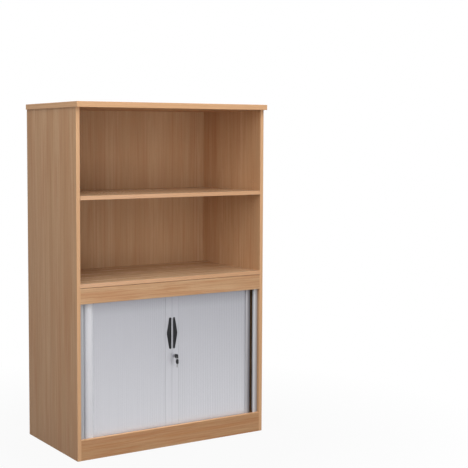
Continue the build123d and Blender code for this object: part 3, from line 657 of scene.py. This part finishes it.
def handle_mesh(low, high, hand):
    """Sections up the handle, joined into one skin."""
    half = (high.z - low.z) / 2
    middle_z, back_y = (low.z + high.z) / 2, high.y
    inner = low.x if hand > 0 else -high.x
    full_width, full_proud = high.x - low.x, high.y - low.y
    upper = [half - end_round * share for share in end_shares] + [half * share for share in run_shares]
    heights = [-z for z in upper] + [0.0] + upper[::-1]
    shape, rings = bmesh.new(), []
    for z in heights:
        reach = (math.hypot(z, peak_round) - peak_round) / (math.hypot(half, peak_round) - peak_round)
        left = min(half - abs(z), end_round)
        round_in = end_round - math.sqrt(max(end_round ** 2 - (end_round - left) ** 2, 0.0))
        width = full_width + (end_width - full_width) * reach
        proud = (full_proud + (end_proud - full_proud) * reach) * (1 - end_fall * round_in / end_round)
        near, far = round_in, width - round_in
        ridge = near + (far - near) * ridge_share
        lip = min(finger_edge, proud * finger_share)
        line = [(near, 0.0), (near, -lip), (ridge, -proud), (far, -proud * low_share), (far, 0.0)]
        for _ in range(corner_cuts):
            cut = [line[0]]
            for first, second in zip(line, line[1:]):
                ends_kept = (first is line[0], second is line[-1])
                for share, kept in zip((corner_cut, 1 - corner_cut), ends_kept):
                    if not kept:
                        cut.append(tuple(a + (b - a) * share for a, b in zip(first, second)))
            line = cut + [line[-1]]
        rings.append([shape.verts.new((hand * (inner + x), back_y + y, middle_z + z)) for x, y in line])
    for lower, upper in zip(rings, rings[1:]):
        for at in range(len(lower)):
            after = (at + 1) % len(lower)
            shape.faces.new((lower[at], lower[after], upper[after], upper[at]))
    shape.faces.new(rings[0])
    shape.faces.new(rings[-1])
    bmesh.ops.remove_doubles(shape, verts=shape.verts, dist=weld)
    return smooth_mesh(shape, handle_crease)


for side, hand in hands.items():
    low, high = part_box(side + "_handle")
    place_piece(side + "_pull", handle_mesh(low, high, hand), black_abs, side + "_handle")
    drive_screws(side + "_pull_screws", side + "_handle_screws", 1)

# Lock: a satin-chromed cam lock through the right stile, with a flanged barrel, a core with a keyway, a nut
# behind, and a zinc hook that catches the pin of a keeper on the left stile.
turn_steps, turned_crease = 48, 35
plug_ease, nut_ease, cam_ease = 0.25 * mm, 0.4 * mm, 0.3 * mm
satin_chrome = plated_steel("satin_chrome_lock", "ACACB2", "A2A2A8", (0.42, 0.52), 0.04)


def turned(profile, axis_x, axis_z):
    """A closed profile of radius and depth, turned about a line along Y."""
    shape = bmesh.new()
    ring = [shape.verts.new((radius, depth, 0.0)) for radius, depth in profile]
    edges = [shape.edges.new((spot, ring[at - 1])) for at, spot in enumerate(ring)]
    bmesh.ops.spin(shape, geom=ring + edges, cent=(0, 0, 0), axis=(0, 1, 0), angle=2 * math.pi,
                   steps=turn_steps, use_duplicate=False)
    bmesh.ops.remove_doubles(shape, verts=shape.verts, dist=weld)
    bmesh.ops.translate(shape, verts=shape.verts, vec=(axis_x, 0, axis_z))
    return smooth_mesh(shape, turned_crease)


low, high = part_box("lock_barrel")
lock_x, lock_z = (low.x + high.x) / 2, (low.z + high.z) / 2
flange, bore, body = (high.x - low.x) / 2, 5.6 * mm, 8 * mm
flange_depth, flange_ease, rim = 3 * mm, 0.9 * mm, 0.5 * mm
eased_rim = [(flange - flange_ease + spot.x, low.y + flange_ease + spot.y)
             for spot in arc((0, 0), flange_ease, -90, 0, end_steps)]
place_piece("lock_case", turned(
    [(bore, low.y + rim), (bore + rim, low.y)] + eased_rim
    + [(flange, low.y + flange_depth), (body, low.y + flange_depth), (body, high.y), (bore, high.y)],
    lock_x, lock_z,
), satin_chrome, "lock_barrel")
place_piece("lock_plug", eased("lock_core", plug_ease, shortest=0.0), satin_chrome, "lock_core")
place_piece("lock_ring_nut", eased("lock_nut", nut_ease, shortest=0.0), zinc, "lock_nut")
place_piece("lock_cam", eased("lock_hook", cam_ease), zinc, "lock_hook")
place_piece("lock_catch", eased("lock_keeper", cam_ease), zinc, "lock_keeper")
drive_screws("lock_cam_screw", "hook_screw", 1)

# Keys: two flat keys with black moulded bows and nickelled blades, cut along one edge. One stands in the
# lock, and the spare hangs from it on a split ring.
bow_ease, blade_ease = 0.7 * mm, 0.2 * mm
blade_width, blade_thick, blade_root = 7 * mm, 1.8 * mm, 1 * mm
bow_round, hole_radius, hole_steps, hole_inset = 0.35, 3 * mm, 24, 4.5 * mm
# The cuts and the tip of a blade, as shares of its length and of its half width
key_cuts = ((0.3, 0.0), (0.4, 0.3), (0.48, 0.05), (0.58, 0.42), (0.68, 0.1), (0.78, 0.35), (0.88, 0.15))
tip_low, tip_high = 0.3, 0.4
key_black = black_plastic("black_key_nylon", "343436", "3E3E40", "1C1C1E")


def plate(loops, thick, ease):
    """A flat plate in the XY plane with eased edges. Loops after the first are holes."""
    sheet = bpy.data.curves.new("plate", "CURVE")
    sheet.dimensions, sheet.fill_mode = "2D", "BOTH"
    sheet.extrude, sheet.bevel_depth, sheet.bevel_resolution = thick / 2 - ease, ease, 2
    for loop in loops:
        line = sheet.splines.new("POLY")
        line.points.add(len(loop) - 1)
        line.points.foreach_set("co", [part for spot in loop for part in (spot[0], spot[1], 0.0, 1.0)])
        line.use_cyclic_u = True
    maker = bpy.data.objects.new("plate", sheet)
    bpy.context.collection.objects.link(maker)
    shape = bmesh.new()
    shape.from_mesh(made_mesh(maker))
    bmesh.ops.remove_doubles(shape, verts=shape.verts, dist=weld)
    return shape


def rounded(width, height, radius):
    """The outline of a rounded rectangle about the origin."""
    w, h = width / 2 - radius, height / 2 - radius
    corners = ((w, h, 0), (-w, h, 90), (-w, -h, 180), (w, -h, 270))
    return [spot for x, y, start in corners for spot in arc((x, y), radius, start, start + 90, end_steps)]


def key_meshes(bow_width, bow_height, bow_thick, hole_at, blade_length):
    """A bow about the origin with its hole on the left, and a blade out of its right side."""
    bow = rounded(bow_width - 2 * bow_ease, bow_height - 2 * bow_ease, bow_height * bow_round)
    hole = arc((hole_at, 0), hole_radius + bow_ease, 360, 0, hole_steps)[:-1]
    start, half = bow_width / 2 - blade_root, blade_width / 2 - blade_ease
    tip = bow_width / 2 + blade_length - blade_ease
    edge = [(start + (tip - start) * along, -half + depth * half) for along, depth in key_cuts]
    end = [(tip, -half * tip_low), (tip, half * tip_high), (tip - half, half), (start, half)]
    blade = [(start, -half)] + edge + end
    return plate([bow, hole], bow_thick, bow_ease), plate([blade], blade_thick, blade_ease)


def place_key(name, node, meshes, to_frame):
    """Bow and blade as one piece with two materials, turned and put in its place."""
    whole = bmesh.new()
    for index, shape in enumerate(meshes):
        part = bpy.data.meshes.new("key_part")
        for face in shape.faces:
            face.material_index = index
        shape.to_mesh(part)
        shape.free()
        whole.from_mesh(part)
    bmesh.ops.transform(whole, matrix=to_frame, verts=whole.verts)
    mesh = smooth_mesh(whole)
    mesh.materials.append(key_black)
    mesh.materials.append(nickel)
    return place_piece(name, mesh, None, node)


low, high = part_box("key")
bow_long, bow_thick = 22 * mm, high.x - low.x
side_on = Matrix(((0, 0, 1, 0), (1, 0, 0, 0), (0, 1, 0, 0), (0, 0, 0, 1)))
bow_at = Matrix.Translation((lock_x, low.y + bow_long / 2, lock_z))
place_key("lock_key", "key", key_meshes(
    bow_long, high.z - low.z, bow_thick, hole_inset - bow_long / 2, high.y - low.y - bow_long,
), bow_at @ side_on)

low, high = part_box("spare_key")
spare_long, spare_blade = 22 * mm, 17 * mm
hanging = Matrix(((0, 0, 1, 0), (0, 1, 0, 0), (-1, 0, 0, 0), (0, 0, 0, 1)))
spare_at = Matrix.Translation((lock_x, (low.y + high.y) / 2, high.z - spare_long / 2))
place_key("hanging_spare_key", "spare_key", key_meshes(
    spare_long, high.y - low.y, high.x - low.x, hole_inset - spare_long / 2, spare_blade,
), spare_at @ hanging)

low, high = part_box("key_ring")
ring_turns, ring_points = 2, 40
coil = (high.y - low.y) / 4
ring_radius = (high.x - low.x) / 2 - coil
wire = bpy.data.curves.new("split_ring", "CURVE")
wire.dimensions, wire.bevel_depth, wire.bevel_resolution = "3D", coil, 3
wire.use_fill_caps = True
line = wire.splines.new("POLY")
line.points.add(ring_turns * ring_points)
for at, point in enumerate(line.points):
    angle = 2 * math.pi * at / ring_points
    rise = (at / (ring_turns * ring_points) - 0.5) * 2 * coil
    point.co = (
        (low.x + high.x) / 2 + ring_radius * math.cos(angle), (low.y + high.y) / 2 + rise,
        (low.z + high.z) / 2 + ring_radius * math.sin(angle), 1.0,
    )
maker = bpy.data.objects.new("split_ring", wire)
bpy.context.collection.objects.link(maker)
ring_mesh = made_mesh(maker)
ring_mesh.shade_smooth()
place_piece("split_ring", ring_mesh, nickel, "key_ring")

# Telescopic slides: three nested channels of rolled steel on each side, the outer screwed to the liner and
# the inner riveted to the frame. Outer and inner are black, and the middle ones bright zinc.
black_slide = plated_steel("black_coated_slide_steel", "2A2A2E", "222226", (0.35, 0.5), 0.1)
bright_slide = plated_steel("bright_zinc_slide_steel", "BDBCC6", "A9A8B4", (0.25, 0.36), 0.1)
slide_ease, slide_head = 0.35 * mm, 1.2 * mm
for side in ("left", "right"):
    for member in ("outer", "inner"):
        node = f"{side}_slide_{member}"
        place_piece(node + "_channel", eased(node, slide_ease), black_slide, node)
place_piece("slide_middle_channels", eased("slide_middles", slide_ease), bright_slide, "slide_middles")
drive_screws("slide_fixing_screws", "slide_screws", 0, inward=0.0, height=slide_head)

# Filing frame: folded sheet steel with a slate-blue powder coat, an open rectangle with a lip all round, a
# curved grip slot in its front and a channel across the middle for the folders to hang on.
sheet_ease = 0.5 * mm
# Powder-coat orange peel is about half a millimetre across, and is drawn coarser so that it shows
coat_patch, coat_sheen, coat_peel = (60, 60, 60), (4, 4, 4), (1.5, 1.5, 1.5)
slate, tree, shader, place = new_finish("slate_powder_coat", {"IOR": 1.5})
shade = grained(tree, place, coat_patch, 2.0)
tree.links.new(layered(tree, "595D73", (shade, "565A70")), shader.inputs["Base Color"])
peel = grained(tree, place, coat_peel, 2.0, 2.7)
tree.links.new(grained(tree, place, coat_sheen, 2.0, 5.2, to=(0.38, 0.5)), shader.inputs["Roughness"])
orange_peel = add(tree, "ShaderNodeBump", {"Strength": 0.25, "Distance": 0.08 * mm, "Height": peel})
tree.links.new(orange_peel.outputs[0], shader.inputs["Normal"])
for node in ("frame_front", "frame_back", "left_frame_side", "right_frame_side", "frame_divider"):
    place_piece(node + "_sheet", eased(node, sheet_ease), slate, node)
dress(zinc, "frame_rivets")

# Floor and background: a white studio sweep. The camera, gloss and glass see it nearly pure white, and it
# keeps a trace of the object's shadow.
scene = bpy.context.scene
floor_half, near_white = 30.0, 0.94
white_from, white_by = 0.7, 1.8
floor_mesh = bpy.data.meshes.new("studio_floor")
floor_mesh.from_pydata([(x, y, 0.0) for x, y in ((-1, -1), (1, -1), (1, 1), (-1, 1))], [], [(0, 1, 2, 3)])
floor_mesh.transform(Matrix.Scale(floor_half, 4))
floor = bpy.data.objects.new("studio_floor", floor_mesh)
scene.collection.objects.link(floor)


def seen_plainly(tree, share):
    """That share for camera, glossy and transmission rays, and none for the rest."""
    rays = add(tree, "ShaderNodeLightPath").outputs
    shiny = add(tree, "ShaderNodeMath", {0: rays["Is Glossy Ray"], 1: rays["Is Transmission Ray"]},
                operation="MAXIMUM").outputs[0]
    seen = add(tree, "ShaderNodeMath", {0: rays["Is Camera Ray"], 1: shiny}, operation="MAXIMUM").outputs[0]
    return add(tree, "ShaderNodeMath", {0: seen, 1: share}, operation="MULTIPLY").outputs[0]


sweep = bpy.data.materials.new("white_studio_sweep")
sweep.use_nodes = True
tree = sweep.node_tree
tree.nodes.clear()
paper = add(tree, "ShaderNodeBsdfDiffuse", {"Color": srgb("909090")}).outputs[0]
spot = add(tree, "ShaderNodeTexCoord").outputs["Object"]
away = add(tree, "ShaderNodeVectorMath", {0: spot}, operation="LENGTH").outputs["Value"]
whiter = add(tree, "ShaderNodeMapRange", {
    "Value": away, "From Min": white_from, "From Max": white_by, "To Min": near_white, "To Max": 1.0,
}).outputs[0]
glow = add(tree, "ShaderNodeEmission", {"Color": srgb("FFFFFF"), "Strength": 1.0}).outputs[0]
sheet = add(tree, "ShaderNodeMixShader", {0: seen_plainly(tree, whiter), 1: paper, 2: glow}).outputs[0]
add(tree, "ShaderNodeOutputMaterial", {"Surface": sheet})
floor_mesh.materials.append(sweep)

world = bpy.data.worlds.new("studio_surround")
scene.world = world
world.use_nodes = True
tree = world.node_tree
tree.nodes.clear()
white = add(tree, "ShaderNodeBackground", {"Color": srgb("FFFFFF"), "Strength": seen_plainly(tree, 1.0)})
add(tree, "ShaderNodeOutputWorld", {"Surface": white.outputs[0]})

# Light: large softboxes, as in a catalogue studio. The left and front ones and the one overhead make the
# photograph's light, a low reflector lifts the front, and one behind lights the back and the right side.
# Each one's power in watts, its width and height, where it hangs and where it points, in metres
softboxes = {
    "front_softbox": (29, 4.0, 3.0, (0.3, -3.2, 3.0), (0.0, 0.0, 0.9)),
    "left_softbox": (66, 3.0, 3.0, (-3.2, -2.6, 2.2), (0.0, 0.0, 0.9)),
    "overhead_softbox": (187, 5.0, 5.0, (0.0, -0.8, 4.0), (0.0, -0.79, 0.0)),
    "low_reflector": (26, 4.0, 1.2, (0.0, -3.5, 0.7), (0.0, 0.0, 0.9)),
    "rear_softbox": (115, 3.0, 3.0, (2.0, 3.3, 2.2), (0.0, 0.0, 0.9)),
}
for name, (power, width, height, spot, aim) in softboxes.items():
    softbox = bpy.data.lights.new(name, "AREA")
    softbox.shape, softbox.size, softbox.size_y = "RECTANGLE", width, height
    softbox.energy = power
    lamp = bpy.data.objects.new(name, softbox)
    scene.collection.objects.link(lamp)
    lamp.location = spot
    lamp.rotation_euler = (Vector(aim) - Vector(spot)).to_track_quat("-Z", "Y").to_euler()
    lamp.visible_camera = False

# Camera: at eye height, well back and to the left, tilted a little down, with the lens shifted as in the
# photograph's framing. Its place and angles come from the cabinet's corners in the photograph.
sensor, image_pixels, focal_pixels = 36.0, 468, 1069.8
eye, yaw, pitch = (-2.581, -4.463, 1.434), -30.93, -4.06
lens = bpy.data.cameras.new("photo_camera")
lens.sensor_width = sensor
lens.lens = focal_pixels / image_pixels * sensor
lens.shift_x, lens.shift_y = 0.15, -0.04
camera = bpy.data.objects.new("photo_camera", lens)
scene.collection.objects.link(camera)
camera.location = eye
camera.rotation_euler = (math.radians(90 + pitch), 0.0, math.radians(yaw))
scene.camera = camera
scene.view_settings.view_transform = "Standard"
